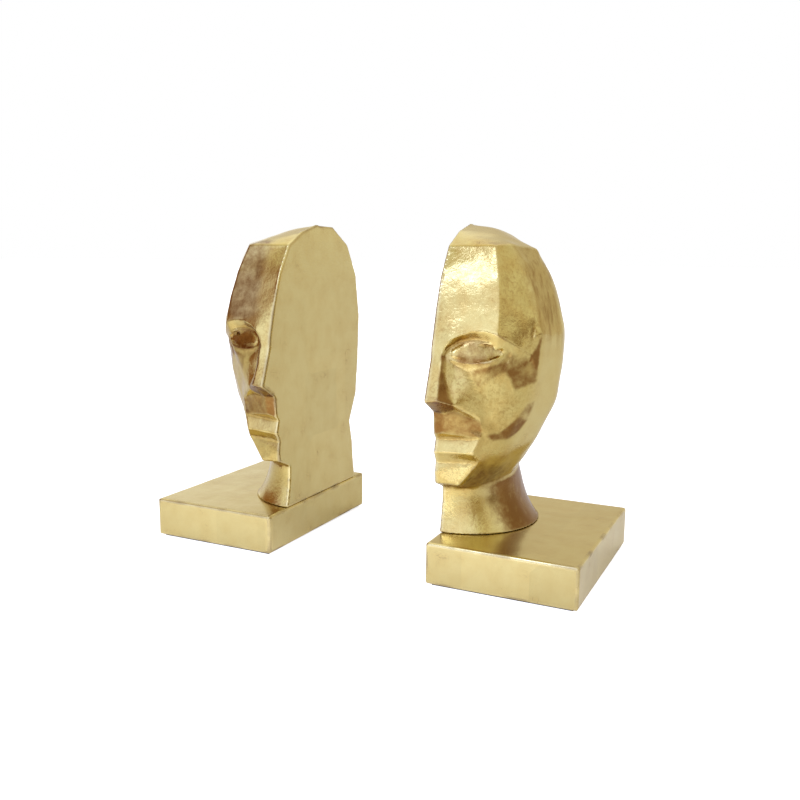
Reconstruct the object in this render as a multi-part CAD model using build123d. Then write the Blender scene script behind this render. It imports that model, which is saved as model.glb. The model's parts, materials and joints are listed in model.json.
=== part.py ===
from build123d import *
import os

# A pair of book ends: a head cut in two down the middle, each half on its own slab.
# Frame: X runs along the shelf, Y to the back, Z up. The origin is on the shelf, midway between
# the two flat faces that hold the books and midway between the nose tips and the backs of the
# slabs. Millimetres.
# Each book end is drawn as the right-hand one, and the left-hand one is its mirror image.

# --- driving dimensions -------------------------------------------------------------------------
book_gap = 137.0            # between the two flat faces

slab_length = 115.0         # along the shelf
slab_depth = 160.0          # front to back
slab_height = 32.0
slab_edge = 0.8             # rounding of the slab's edges
felt_thickness = 1.5
felt_inset = 4.0            # bare margin round the felt

head_width = 81.0           # flat face to the widest point of the temple
head_depth = 159.0          # nose tip to the back of the skull
head_height = 199.0         # under the jaw at the neck to the crown
neck_height = 34.0          # slab top to the throat, where the jaw meets the neck

neck_centre_back = 85.0     # neck axis, from the front of the slab
neck_foot_radius = 59.0
neck_top_out = 42.5         # half oval at the jaw: out from the flat face
neck_top_back = 54.0        # half oval at the jaw: front to back
neck_waist_out = 3.0        # how far the side of the neck is hollowed
neck_waist_back = 1.0       # how far its front and back are hollowed
neck_overlap = 26.0         # how far the neck runs up inside the head
neck_taper = 14.0           # degrees, narrowing upwards inside the head

bolt_diameter = 6.0
bolt_head_diameter = 10.0
bolt_head_height = 6.0
bolt_spacing = 56.0         # front to back
bolt_out = 24.0             # from the flat face
bolt_socket = 5.0           # across the flats of the hexagon key
bolt_socket_depth = 3.2
bolt_length = 35.0          # under the head
bolt_clearance = 0.6        # on the diameter, through the slab
washer_diameter = 16.0
washer_thickness = 1.2
washer_clearance = 1.0      # on the diameter of its counterbore
seat_depth = 12.0           # counterbore, from the underside of the slab to the washer

insert_diameter = 10.0
insert_length = 16.0
insert_flange = 13.0
insert_flange_thickness = 1.5
insert_end_gap = 2.0        # left above the insert in its hole

dowel_diameter = 8.0
dowel_length = 30.0
dowel_out = 24.0            # from the flat face
dowel_end_gap = 1.0         # at each end of its hole

ballast_length = 34.0       # along the shelf
ballast_depth = 120.0
ballast_thickness = 12.0
ballast_out = 74.0          # its middle, from the flat face
ballast_clearance = 0.5     # all round in its pocket
ballast_screw_spacing = 92.0
ballast_screw_diameter = 4.0
ballast_screw_head = 8.0
ballast_screw_length = 24.0
ballast_screw_play = 0.5    # on the diameter, through the plate
cross_length = 4.4          # the cross recess in a ballast screw's head
cross_width = 0.9
cross_depth = 1.2

eye_half_length = 19.0      # the hollow of the eye, along the lids
eye_half_height = 6.5
eye_half_depth = 4.0
ball_half_length = 17.5     # the eyeball inside it
ball_half_height = 5.7
ball_half_depth = 2.9
ball_setback = 2.2          # how far the eyeball's middle lies behind the hollow's

# The head was first drawn at these sizes, and its landmarks below are in that drawing.
drawn_width = 81.0
drawn_depth = 159.0
drawn_height = 199.0
drawn_throat = 66.0

# --- the half head ------------------------------------------------------------------------------
# Landmarks of the carved head as first drawn, each as (out from the flat face, back from the front
# of the slab, up from the foot of the slab). Those with 0 out run round the flat face itself.
landmarks = {
    # down the flat face from the forehead to the throat
    "forehead_top": (0, 34, 248),
    "forehead_high": (0, 20, 226),
    "forehead_low": (0, 13, 206),
    "nose_root": (0, 5, 177),
    "nose_bridge": (0, 4, 168),
    "nose_tip": (0, -7, 138),
    "nose_under": (0, 10.5, 128),
    "lip_top": (0, 12, 111),
    "lip_groove": (0, 15, 107.5),
    "lip_foot": (0, 12, 97.5),
    "chin_groove": (0, 16, 90),
    "chin": (0, 14.5, 82),
    "chin_foot": (0, 15.5, 73.5),
    "throat": (0, 34, 65.5),
    # up the flat face from the nape to the crown
    "nape": (0, 134, 88),
    "nape_high": (0, 146, 112),
    "skull_low": (0, 150, 146),
    "skull_back": (0, 152, 185),
    "skull_mid": (0, 146, 222),
    "skull_high": (0, 130, 249),
    "crown_back": (0, 104, 264),
    "crown": (0, 76, 265),
    "crown_front": (0, 54, 259),
    # crown
    "crown_out": (22, 73, 262.5),
    "crown_far": (41, 70, 253.5),
    "crown_rear": (23, 102, 260),
    "crown_rear_far": (39, 100, 250),
    # edge between the front of the forehead and the temple
    "temple_top": (37.5, 32, 248),
    "temple_high": (43.5, 23.5, 226),
    "temple_low": (46.5, 17.5, 206),
    "temple_foot": (51, 15.5, 184),
    # edge between the temple and the side of the head
    "side_top": (46, 44.5, 249),
    "side_high": (54.5, 46, 237),
    "side_mid": (62.5, 45.5, 218),
    "side_low": (66, 40.5, 197),
    "side_foot": (66.5, 37, 184),
    # brow arch, from the nose to its tail at the temple
    "arch_nose": (9, 3.5, 170),
    "arch_rise": (11.5, 4.5, 176.5),
    "arch_inner": (14.5, 5, 181.5),
    "arch_climb": (22, 7.5, 185.5),
    "arch_high": (30, 10, 188),
    "arch_crest": (39, 11, 188),
    "arch_fall": (47.5, 12, 186),
    "arch_outer": (60.5, 28, 175.5),
    "arch_tail": (65, 37.5, 170.5),
    # the same arch underneath, where the eye is set back
    "under_nose": (10.5, 6.5, 171),
    "under_rise": (12.5, 10, 176),
    "under_inner": (19.5, 13, 180.5),
    "under_high": (28, 14.5, 182.5),
    "under_crest": (37, 15, 181.5),
    "under_fall": (46, 15.5, 178.5),
    "under_outer": (54.5, 24.5, 172),
    "under_low": (59.5, 34, 166.5),
    "under_tail": (63.5, 39, 166.5),
    # lower lid
    "lid_nose": (13, 7, 169),
    "lid_inner": (18, 8, 165.5),
    "lid_low": (26, 9.5, 164),
    "lid_mid": (34, 11, 164),
    "lid_rise": (42, 13, 165),
    "lid_outer": (48, 19, 167.5),
    "lid_corner": (52.5, 25, 171),
    # nose
    "bridge_side": (9, 0, 157),
    "tip_side": (10.5, -6.5, 139),
    "bridge_foot": (11.5, 3, 158),
    "nose_foot": (14, 3, 146),
    "nose_wing": (19.5, 2.5, 135),
    # cheek and cheekbone
    "cheek": (33, 13, 147),
    "cheek_top": (51, 23.5, 160),
    "cheek_side": (55.5, 30, 145),
    "cheek_mid": (47.5, 25.5, 133.5),
    "cheek_low": (40.5, 23, 122),
    "cheek_foot": (36, 19.5, 114),
    "bone_tip": (65.5, 42.5, 147.5),
    "bone_high": (62.5, 42, 135),
    "bone_mid": (55.5, 37, 123.5),
    "bone_low": (44.5, 29, 113),
    "bone_foot": (38.5, 21, 112.5),
    "hollow_high": (60.5, 48.5, 121),
    "hollow_mid": (54, 45, 111.5),
    "hollow_low": (48.5, 36.5, 107),
    "hollow_foot": (40.5, 25.5, 107.5),
    # side of the face
    "band_top": (71, 42.5, 186),
    "band_mid": (68, 44, 157),
    "band_low": (68, 45, 150.5),
    "band_foot": (66.5, 47.5, 136),
    "edge_top": (57, 68, 246),
    "edge_high": (67, 69, 231),
    "edge_mid": (75, 70, 210),
    "edge_wide": (81, 70, 187),
    "edge_cheek": (80, 70, 161),
    "edge_jaw": (76, 70, 132),
    "edge_low": (61, 70, 101),
    "edge_neck": (49, 70, 83),
    # mouth, chin and jaw
    "philtrum_top": (8.5, 8.5, 128),
    "philtrum_foot": (7.5, 10.5, 113),
    "lip_shoulder": (18.5, 7.5, 131),
    "lip_far": (35.5, 16.5, 123),
    "mouth_far": (36.5, 20, 112),
    "mouth_corner": (34.5, 17.5, 110),
    "lip_end": (30, 14, 99),
    "mouth_foot": (33, 20.5, 91.5),
    "chin_corner": (18.5, 17, 72.5),
    "jaw_front": (31.5, 27, 84.5),
    "jaw": (43, 38, 88),
    "jaw_corner": (52, 50, 97),
    # back of the head
    "back_high": (62, 108, 216),
    "back_wide": (69, 108, 185),
    "back_jaw": (65, 106, 135),
    "back_low": (49, 104, 99),
    "rear_top": (23, 128, 244),
    "rear_high": (38, 137, 215),
    "rear_wide": (43, 140, 185),
    "rear_jaw": (39, 138, 141),
    "rear_low": (31, 130, 100),
    # underside of the jaw, just inside the neck
    "neck_front": (15, 38, 66.5),
    "neck_fore": (27, 47, 67),
    "neck_quarter": (34, 58, 68.5),
    "neck_side": (39, 76, 71),
    "neck_aft": (39, 95, 74),
    "neck_rear": (34, 114, 80),
    "neck_back": (20, 127, 85),
}

# Facets of the carved head, by the landmarks at their corners. A facet with more than three
# corners is filled as a fan from its first corner.
facets = """
forehead_top temple_top crown_front
temple_top crown_out crown_front
crown_front crown_out crown
temple_top side_top crown_out
side_top crown_far crown_out
side_top edge_top crown_far
crown crown_out crown_rear crown_back
crown_out crown_far crown_rear_far crown_rear
crown_far edge_top crown_rear_far
forehead_top forehead_high temple_high temple_top
forehead_high forehead_low temple_low temple_high
forehead_low nose_root arch_inner arch_climb arch_high temple_low
temple_low arch_high arch_crest arch_fall temple_foot
nose_root arch_rise arch_inner
nose_root nose_bridge arch_nose arch_rise
temple_top temple_high side_high side_top
temple_high temple_low side_mid side_high
temple_low temple_foot side_low side_mid
side_low temple_foot arch_outer arch_tail side_foot
side_top side_high edge_high edge_top
side_high side_mid edge_mid edge_high
side_mid side_low band_top edge_wide edge_mid
band_top side_low side_foot arch_tail
arch_nose under_nose under_rise arch_rise
arch_rise under_rise under_inner arch_inner
arch_inner under_inner arch_climb
arch_climb under_inner under_high arch_high
arch_high under_high under_crest arch_crest
arch_crest under_crest under_fall arch_fall
arch_fall under_fall temple_foot
temple_foot under_fall under_outer arch_outer
arch_outer under_outer under_low arch_tail
arch_tail under_low under_tail
under_nose lid_nose under_rise
under_rise lid_nose lid_inner under_inner
under_inner lid_inner lid_low under_high
under_high lid_low lid_mid under_crest
under_crest lid_mid lid_rise under_fall
under_fall lid_rise lid_outer
under_fall lid_outer lid_corner under_outer
nose_bridge nose_tip tip_side bridge_side arch_nose
arch_nose bridge_side bridge_foot under_nose
bridge_side tip_side nose_foot bridge_foot
tip_side nose_wing nose_foot
under_nose bridge_foot lid_nose
cheek lid_nose bridge_foot nose_foot nose_wing lip_far cheek_foot cheek_low
cheek cheek_low cheek_mid cheek_side cheek_top
cheek cheek_top lid_corner lid_outer lid_rise lid_mid lid_low lid_inner lid_nose
lid_corner cheek_top under_outer
under_outer cheek_top under_low
cheek_top cheek_side band_low band_mid
cheek_top band_mid under_tail under_low
cheek_side bone_tip band_low
bone_tip cheek_side bone_high
cheek_side cheek_mid bone_mid bone_high
cheek_mid cheek_low bone_low bone_mid
cheek_low cheek_foot bone_foot bone_low
bone_tip bone_high band_foot
bone_high bone_mid hollow_high band_foot
bone_mid bone_low hollow_low hollow_mid hollow_high
bone_low bone_foot hollow_foot hollow_low
bone_foot mouth_far hollow_foot
cheek_foot mouth_far bone_foot
arch_tail under_tail band_mid band_top
band_top band_mid edge_cheek edge_wide
edge_cheek band_mid band_low bone_tip band_foot edge_jaw
band_foot hollow_high edge_low edge_jaw
hollow_high hollow_mid jaw_corner edge_low
nose_tip nose_under philtrum_top lip_shoulder nose_wing tip_side
nose_wing lip_shoulder lip_far
nose_under lip_top philtrum_foot philtrum_top
philtrum_top philtrum_foot mouth_corner cheek_foot lip_far lip_shoulder
cheek_foot mouth_corner mouth_far
lip_top lip_groove mouth_corner philtrum_foot
lip_groove lip_foot lip_end mouth_corner
lip_foot chin_groove mouth_foot lip_end
mouth_corner lip_end mouth_foot
chin chin_foot chin_corner mouth_foot chin_groove
mouth_foot hollow_foot mouth_far mouth_corner
mouth_foot jaw_front jaw hollow_low hollow_foot
jaw jaw_corner hollow_mid hollow_low
mouth_foot chin_corner jaw_front
chin_foot throat neck_front chin_corner
chin_corner neck_front neck_fore jaw_front
jaw_front neck_fore neck_quarter jaw
jaw neck_quarter neck_side jaw_corner
jaw_corner neck_side edge_neck edge_low
crown_back crown_rear rear_top skull_high
crown_rear crown_rear_far rear_top
edge_top edge_high back_high crown_rear_far
edge_high edge_mid back_high
edge_mid edge_wide back_wide back_high
edge_wide edge_cheek back_wide
edge_cheek edge_jaw back_jaw back_wide
edge_jaw edge_low back_low back_jaw
edge_low edge_neck neck_aft back_low
edge_neck neck_side neck_aft
crown_rear_far back_high rear_high rear_top
back_high back_wide rear_wide rear_high
back_wide back_jaw rear_jaw rear_wide
back_jaw back_low rear_low rear_jaw
back_low neck_aft neck_rear rear_low
rear_low neck_rear neck_back
rear_top rear_high skull_mid skull_high
rear_high rear_wide skull_back skull_mid
rear_wide rear_jaw skull_low skull_back
rear_jaw rear_low nape_high skull_low
rear_low neck_back nape nape_high
throat nape neck_back neck_rear neck_aft neck_side neck_quarter neck_fore neck_front
"""

# --- sizes that follow --------------------------------------------------------------------------
nose_reach = (neck_centre_back - landmarks["nose_tip"][1]) * head_depth / drawn_depth
nose_overhang = max(nose_reach - neck_centre_back, 0)
slab_front = -(slab_depth + nose_overhang) / 2 + nose_overhang
slab_y = slab_front + slab_depth / 2
slab_foot = felt_thickness
slab_top = slab_foot + slab_height
neck_y = slab_front + neck_centre_back
throat_z = slab_top + neck_height
washer_seat = slab_foot + seat_depth
dowel_bottom = slab_top - dowel_length / 2
dowel_top = slab_top + dowel_length / 2
bolt_ys = (neck_y - bolt_spacing / 2, neck_y + bolt_spacing / 2)
ballast_screw_ys = (slab_y - ballast_screw_spacing / 2, slab_y + ballast_screw_spacing / 2)

# The outline of the flat face, down the face and up the back of the head
flat_outline = [name for name, place in landmarks.items() if place[0] == 0]


def rod(radius, bottom, top, out, y):
    """An upright round bar between two heights."""
    return Pos(out, y, (bottom + top) / 2) * Cylinder(radius, top - bottom)


def placed(name):
    """A landmark's place in the right-hand book end, at the head's driving sizes."""
    out, back, up = landmarks[name]
    return Vector(
        out * head_width / drawn_width,
        neck_y + (back - neck_centre_back) * head_depth / drawn_depth,
        throat_z + (up - drawn_throat) * head_height / drawn_height,
    )


def facet_faces(names):
    """The triangles of one facet, as a fan from its first corner."""
    corners = [placed(name) for name in names]
    faces = []
    for second, third in zip(corners[1:], corners[2:]):
        faces.append(Face(Wire.make_polygon([corners[0], second, third], close=True)))
    return faces


def carved_head():
    """The closed block of facets, flat on the side of the books."""
    faces = [Face(Wire.make_polygon([placed(name) for name in flat_outline], close=True))]
    for line in facets.split("\n"):
        if line:
            faces += facet_faces(line.split())
    return Solid(Shell(faces))


def oval(out, back, up):
    """A level oval round the neck's axis."""
    return Pos(0, neck_y, up) * Ellipse(out, back)


def half_neck():
    """A hollow-sided cone from a round foot to an oval under the jaw, carried up into the head."""
    middle_out = (neck_foot_radius + neck_top_out) / 2 - neck_waist_out
    middle_back = (neck_foot_radius + neck_top_back) / 2 - neck_waist_back
    whole = loft([
        oval(neck_foot_radius, neck_foot_radius, slab_top),
        oval(middle_out, middle_back, slab_top + neck_height / 2),
        oval(neck_top_out, neck_top_back, slab_top + neck_height),
    ])
    top = oval(neck_top_out, neck_top_back, slab_top + neck_height)
    inside = extrude(top, neck_overlap, taper=neck_taper)
    cover = neck_foot_radius + neck_height + neck_overlap
    right_half = Pos(cover, neck_y, slab_top) * Box(2 * cover, 2 * cover, 2 * cover)
    return (whole + inside) & right_half


def egg(half_length, half_height, half_depth, setback=0.0):
    """A round body with three half sizes, lying along the lids of the eye."""
    lids = placed("lid_corner") - placed("lid_nose")
    opening = placed("under_high") - placed("lid_low")
    inward = opening.cross(lids).normalized()
    round_the_eye = ("lid_low", "lid_mid", "under_high", "under_crest")
    middle = sum((placed(name) for name in round_the_eye), Vector()) / len(round_the_eye)
    seat = Plane(origin=middle + inward * setback, x_dir=lids, z_dir=inward)
    return seat * scale(Sphere(1), by=(half_length, half_height, half_depth))


def half_head():
    """Half head and neck in one casting, with the eye sunk in and holes for what it is fixed by."""
    body = carved_head() + half_neck()
    body -= egg(eye_half_length, eye_half_height, eye_half_depth)
    body += egg(ball_half_length, ball_half_height, ball_half_depth, ball_setback)
    for y in bolt_ys:
        depth = insert_length + insert_end_gap
        body -= rod(insert_diameter / 2, slab_top, slab_top + depth, bolt_out, y)
        body -= rod(insert_flange / 2, slab_top, slab_top + insert_flange_thickness, bolt_out, y)
    body -= rod(dowel_diameter / 2, slab_top, dowel_top + dowel_end_gap, dowel_out, neck_y)
    return body


# --- the slab and what is in it -----------------------------------------------------------------
def base_block():
    """The slab, counterbored for the bolts and hollowed below for the ballast."""
    block = Pos(slab_length / 2, slab_y, slab_foot + slab_height / 2) * Box(
        slab_length, slab_depth, slab_height
    )
    underside = block.faces().sort_by(Axis.Z)[0]
    kept_sharp = underside.edges()
    rounded = [edge for edge in block.edges() if edge not in kept_sharp]
    block = fillet(rounded, slab_edge)
    for y in bolt_ys:
        counterbore = (washer_diameter + washer_clearance) / 2
        block -= rod(counterbore, slab_foot, washer_seat, bolt_out, y)
        block -= rod((bolt_diameter + bolt_clearance) / 2, washer_seat, slab_top, bolt_out, y)
    block -= rod(dowel_diameter / 2, dowel_bottom - dowel_end_gap, slab_top, dowel_out, neck_y)
    block -= Pos(ballast_out, slab_y, slab_foot + ballast_thickness / 2) * Box(
        ballast_length + 2 * ballast_clearance,
        ballast_depth + 2 * ballast_clearance,
        ballast_thickness,
    )
    for y in ballast_screw_ys:
        screw_top = slab_foot + ballast_screw_length
        block -= rod(
            ballast_screw_diameter / 2, slab_foot + ballast_thickness, screw_top, ballast_out, y
        )
    return block


def felt_pad():
    """Felt under the slab."""
    return Pos(slab_length / 2, slab_y, felt_thickness / 2) * Box(
        slab_length - 2 * felt_inset, slab_depth - 2 * felt_inset, felt_thickness
    )


def ballast_plate():
    """A steel bar let into the underside, countersunk for its two screws."""
    plate = Pos(ballast_out, slab_y, slab_foot + ballast_thickness / 2) * Box(
        ballast_length, ballast_depth, ballast_thickness
    )
    for y in ballast_screw_ys:
        radius = (ballast_screw_diameter + ballast_screw_play) / 2
        plate -= rod(radius, slab_foot, slab_foot + ballast_thickness, ballast_out, y)
        plate -= screw_head(y, ballast_screw_play)
    return plate


def screw_head(y, play=0.0):
    """The countersunk head of a ballast screw, flush with the plate."""
    wide = (ballast_screw_head + play) / 2
    narrow = (ballast_screw_diameter + play) / 2
    height = (ballast_screw_head - ballast_screw_diameter) / 2
    return Pos(ballast_out, y, slab_foot + height / 2) * Cone(wide, narrow, height)


def ballast_screw(y):
    """A countersunk screw with a cross recess."""
    screw = screw_head(y)
    screw += rod(ballast_screw_diameter / 2, slab_foot, slab_foot + ballast_screw_length, ballast_out, y)
    for turn in (0, 90):
        slot = Box(cross_length, cross_width, 2 * cross_depth)
        screw -= Pos(ballast_out, y, slab_foot) * Rot(0, 0, turn) * slot
    return screw


# --- what holds the head to the slab ------------------------------------------------------------
def head_bolt(y):
    """A socket-head bolt, up through the slab into its insert."""
    head_top = washer_seat - washer_thickness
    head_bottom = head_top - bolt_head_height
    bolt = rod(bolt_head_diameter / 2, head_bottom, head_top, bolt_out, y)
    bolt += rod(bolt_diameter / 2, head_top, head_top + bolt_length, bolt_out, y)
    key = RegularPolygon(bolt_socket / 2, 6, major_radius=False)
    bolt -= Pos(bolt_out, y, head_bottom) * extrude(key, bolt_socket_depth)
    return bolt


def bolt_washer(y):
    """The washer under a bolt's head."""
    washer = rod(washer_diameter / 2, washer_seat - washer_thickness, washer_seat, bolt_out, y)
    hole = (bolt_diameter + bolt_clearance) / 2
    washer -= rod(hole, washer_seat - washer_thickness, washer_seat, bolt_out, y)
    return washer


def threaded_insert(y):
    """A flanged insert cast into the foot of the neck, for one bolt."""
    insert = rod(insert_diameter / 2, slab_top, slab_top + insert_length, bolt_out, y)
    insert += rod(insert_flange / 2, slab_top, slab_top + insert_flange_thickness, bolt_out, y)
    insert -= rod(bolt_diameter / 2, slab_top, slab_top + insert_length, bolt_out, y)
    return insert


def locating_dowel():
    """The wooden dowel that stops the head turning on the slab."""
    return rod(dowel_diameter / 2, dowel_bottom, dowel_top, dowel_out, neck_y)


def book_end_pieces():
    """Every piece of the right-hand book end by name, with its flat face at X = 0."""
    pieces = {
        "base_block": base_block(),
        "felt_pad": felt_pad(),
        "ballast_plate": ballast_plate(),
        "half_head": half_head(),
        "locating_dowel": locating_dowel(),
    }
    for place, bolt_y, screw_y in zip(("front", "back"), bolt_ys, ballast_screw_ys):
        pieces[f"ballast_screw_{place}"] = ballast_screw(screw_y)
        pieces[f"head_bolt_{place}"] = head_bolt(bolt_y)
        pieces[f"bolt_washer_{place}"] = bolt_washer(bolt_y)
        pieces[f"threaded_insert_{place}"] = threaded_insert(bolt_y)
    return pieces


os.makedirs("parts", exist_ok=True)
for name, piece in book_end_pieces().items():
    right = Pos(book_gap / 2, 0, 0) * piece
    left = mirror(right, about=Plane.YZ)
    export_step(right, f"parts/right_{name}.step")
    export_step(left, f"parts/left_{name}.step")
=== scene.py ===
import json
import math

import bpy
import numpy as np
from mathutils import Matrix, Vector
from mathutils.kdtree import KDTree

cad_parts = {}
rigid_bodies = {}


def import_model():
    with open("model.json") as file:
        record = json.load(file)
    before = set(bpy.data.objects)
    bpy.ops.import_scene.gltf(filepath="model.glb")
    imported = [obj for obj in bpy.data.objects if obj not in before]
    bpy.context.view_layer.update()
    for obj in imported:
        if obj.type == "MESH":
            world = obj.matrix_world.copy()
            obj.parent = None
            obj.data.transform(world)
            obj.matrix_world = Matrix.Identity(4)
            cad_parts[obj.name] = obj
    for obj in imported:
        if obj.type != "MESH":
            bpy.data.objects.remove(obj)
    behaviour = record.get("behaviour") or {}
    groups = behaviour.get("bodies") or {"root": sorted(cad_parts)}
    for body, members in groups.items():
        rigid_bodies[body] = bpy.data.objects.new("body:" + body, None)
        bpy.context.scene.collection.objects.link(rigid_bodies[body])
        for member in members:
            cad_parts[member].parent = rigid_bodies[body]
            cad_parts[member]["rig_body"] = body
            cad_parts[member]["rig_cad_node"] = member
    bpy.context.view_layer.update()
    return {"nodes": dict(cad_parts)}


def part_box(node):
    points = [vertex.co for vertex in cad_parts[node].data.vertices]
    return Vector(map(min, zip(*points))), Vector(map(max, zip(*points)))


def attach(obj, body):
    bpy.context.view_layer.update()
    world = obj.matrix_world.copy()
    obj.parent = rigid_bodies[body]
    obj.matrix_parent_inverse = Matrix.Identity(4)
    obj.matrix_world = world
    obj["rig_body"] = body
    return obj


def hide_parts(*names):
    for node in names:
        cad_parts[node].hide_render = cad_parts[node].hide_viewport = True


mm = 0.001
sides = ("left", "right")
pairEnds = ("front", "back")

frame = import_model()


def nothingSelected():
    if bpy.context.object and bpy.context.object.mode != "OBJECT":
        bpy.ops.object.mode_set(mode="OBJECT")
    bpy.ops.object.select_all(action="DESELECT")


def pick(piece):
    nothingSelected()
    piece.select_set(True)
    bpy.context.view_layer.objects.active = piece


def copyOfNode(nodeName, pieceName):
    pick(frame["nodes"][nodeName])
    bpy.ops.object.duplicate()
    piece = bpy.context.object
    bpy.ops.object.parent_clear(type="CLEAR_KEEP_TRANSFORM")
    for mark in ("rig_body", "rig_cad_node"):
        del piece[mark]
    piece.name = pieceName
    piece.data.name = pieceName
    piece.data.materials.clear()
    bpy.ops.object.mode_set(mode="EDIT")
    bpy.ops.mesh.select_all(action="SELECT")
    bpy.ops.mesh.remove_doubles(threshold=0.01 * mm)
    bpy.ops.object.mode_set(mode="OBJECT")
    return piece


def points(mesh):
    flat = np.zeros(len(mesh.vertices) * 3)
    mesh.vertices.foreach_get("co", flat)
    return flat.reshape(-1, 3)


def vertexNormals(mesh):
    flat = np.zeros(len(mesh.vertices) * 3)
    mesh.vertex_normals.foreach_get("vector", flat)
    return flat.reshape(-1, 3)


def edgeEnds(mesh):
    flat = np.zeros(len(mesh.edges) * 2, int)
    mesh.edges.foreach_get("vertices", flat)
    return flat.reshape(-1, 2)


def ramp(value, low, high):
    # 0 at low, 1 at high, eased; low may be the greater
    t = np.clip((value - low) / (high - low), 0, 1)
    return t * t * (3 - 2 * t)


def addModifier(piece, kind, **settings):
    pick(piece)
    modifier = piece.modifiers.new(kind.title(), kind)
    for name, value in settings.items():
        setattr(modifier, name, value)
    bpy.ops.object.modifier_apply(modifier=modifier.name)


def dent(piece, textureName, size, depth, strength, **settings):
    # cloud noise that only ever pushes inwards
    texture = bpy.data.textures.new(textureName, "CLOUDS")
    texture.noise_scale = size
    texture.noise_depth = depth
    addModifier(piece, "DISPLACE", texture=texture, texture_coords="LOCAL", mid_level=1.0, strength=strength,
                **settings)


def weightGroup(piece, name, weights):
    group = piece.vertex_groups.new(name=name)
    steps = np.round(np.asarray(weights) * 50).astype(int)
    for step in range(1, 51):
        found = np.nonzero(steps == step)[0]
        if len(found):
            group.add(found.tolist(), step / 50, "REPLACE")
    return name


def paint(piece, name, values):
    layer = piece.data.attributes.new(name, "FLOAT", "POINT")
    layer.data.foreach_set("value", np.asarray(values, np.float32))


def averaged(values, ends, count, turns):
    for _ in range(turns):
        total = np.bincount(ends[:, 0], values[ends[:, 1]], count)
        total += np.bincount(ends[:, 1], values[ends[:, 0]], count)
        around = np.bincount(ends.ravel(), minlength=count)
        values = (values + total / np.maximum(around, 1)) / 2
    return values


def paintWear(piece, reach):
    # how sharply the surface turns: out at an edge, in at a hollow
    mesh = piece.data
    place, normal, ends = points(mesh), vertexNormals(mesh), edgeEnds(mesh)
    count = len(place)
    bent = np.zeros(count)
    around = np.maximum(np.bincount(ends.ravel(), minlength=count), 1)
    for axis in range(3):
        total = np.bincount(ends[:, 0], place[ends[:, 1], axis], count)
        total += np.bincount(ends[:, 1], place[ends[:, 0], axis], count)
        bent += (total / around - place[:, axis]) * normal[:, axis]
    bent = averaged(bent, ends, count, 2) / reach
    paint(piece, "edgeWear", np.clip(-bent, 0, 1))
    paint(piece, "hollow", np.clip(averaged(np.clip(bent, 0, 1), ends, count, 6) * 2.2, 0, 1))


def keepInside(piece, nodeName):
    low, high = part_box(nodeName)
    place = np.clip(points(piece.data), np.array(low), np.array(high))
    piece.data.vertices.foreach_set("co", place.ravel())
    piece.data.update()


headLook = {
    "voxel": 1.1 * mm,          # spacing of the fine mesh
    "clearOfFlat": (1 * mm, 4 * mm),      # the flat face and the foot keep their true plane
    "softReach": (2.5 * mm, 9 * mm),
    "softTurns": 240,           # how far the facets melt together away from the crisp lines
    "foreheadTurns": 500,
    "foreheadUp": (194 * mm, 206 * mm),
    "foreheadBack": (50 * mm, 38 * mm),
    "edgeTurns": 3,             # light rounding everywhere
    "handWobble": 0.35 * mm,
    "wobbleSize": 17 * mm,
    "wearReach": 0.12 * mm,
    "recessTurns": 160,
    "recessReach": 2.6 * mm,
    "recessFoot": 88 * mm,      # none settles under the jaw
    "dabbedTo": (44 * mm, 56 * mm),
    "leftForeheadShade": 0.60,
    "leftForeheadUp": (184 * mm, 196 * mm),
    "leftForeheadOut": (10 * mm, 24 * mm),
    # where the neck ends, as (back, up), mm
    "crease": [(34, 66), (58, 68.5), (76, 71), (95, 74), (114, 80), (134, 88)],
    "neckShade": 0.95,
    "neckHalfDepth": 34 * mm,
    "neckShadeFrom": (-1.0, -0.35),       # its front is left bright
    "facetDepth": 3 * mm,
    "shadeBlur": 2.0 * mm,
    "shadedLines": {"brow": (0.7, 1.3 * mm), "lower lid": (0.3, 8 * mm)},    # share, reach
    "underJaw": 0.5,
    "streaksUp": (165 * mm, 200 * mm),
    "streaksBack": (130 * mm, 85 * mm),
    "streaksSideways": (0.45, 0.75),
}

noseReach = 7       # mm, how far the nose stands before the brow
headTop = 265       # mm, the crown above the foot

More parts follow.
